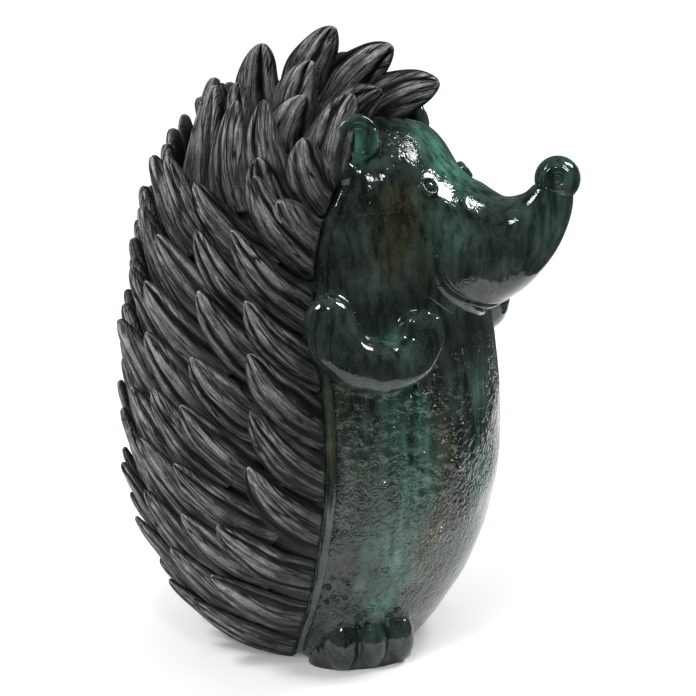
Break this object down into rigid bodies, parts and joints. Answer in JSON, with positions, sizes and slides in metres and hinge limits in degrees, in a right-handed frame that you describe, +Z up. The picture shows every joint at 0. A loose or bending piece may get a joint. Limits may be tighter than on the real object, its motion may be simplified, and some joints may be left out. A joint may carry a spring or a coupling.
{
  "type": "hedgehog figurine",
  "caption": "Upright ceramic hedgehog garden figurine, hollow, with a glossy dark green glazed face and belly, curled arms and a matt charcoal coat of overlapping clay quills",
  "frame": {"origin": "on the floor, in the flat base, on the upright axis of the egg-shaped body", "axes": "+Z up; -Y the way the snout points; +X the animal's left side"},
  "size_m": [0.1746, 0.1998, 0.2681],
  "materials": {
    "dark_green_glaze": "high-gloss reactive stoneware glaze, near black with teal, olive and amber runs",
    "quill_stoneware": "unglazed charcoal stoneware, dry-brushed light grey on the ridges",
    "bare_stoneware": "bare fired stoneware, wiped clean of glaze"
  },
  "bodies": {
    "root": {"arm_left": "dark_green_glaze", "arm_right": "dark_green_glaze", "base_slab": "bare_stoneware", "belly_shell": "dark_green_glaze", "coat_shell": "quill_stoneware", "crest_quills": "quill_stoneware", "crown_quills_left": "quill_stoneware", "crown_quills_right": "quill_stoneware", "ear_left": "dark_green_glaze", "ear_right": "dark_green_glaze", "eye_left": "dark_green_glaze", "eye_right": "dark_green_glaze", "foot_left": "dark_green_glaze", "foot_right": "dark_green_glaze", "forelock_quill": "quill_stoneware", "head_shell": "dark_green_glaze", "nose": "dark_green_glaze", "quill_course_01": "quill_stoneware", "quill_course_02": "quill_stoneware", "quill_course_03": "quill_stoneware", "quill_course_04": "quill_stoneware", "quill_course_05": "quill_stoneware", "quill_course_06": "quill_stoneware", "quill_course_07": "quill_stoneware", "quill_course_08": "quill_stoneware", "quill_course_09": "quill_stoneware", "quill_course_10": "quill_stoneware", "seam_quills_left": "quill_stoneware", "seam_quills_right": "quill_stoneware"}
  },
  "joints": []
}
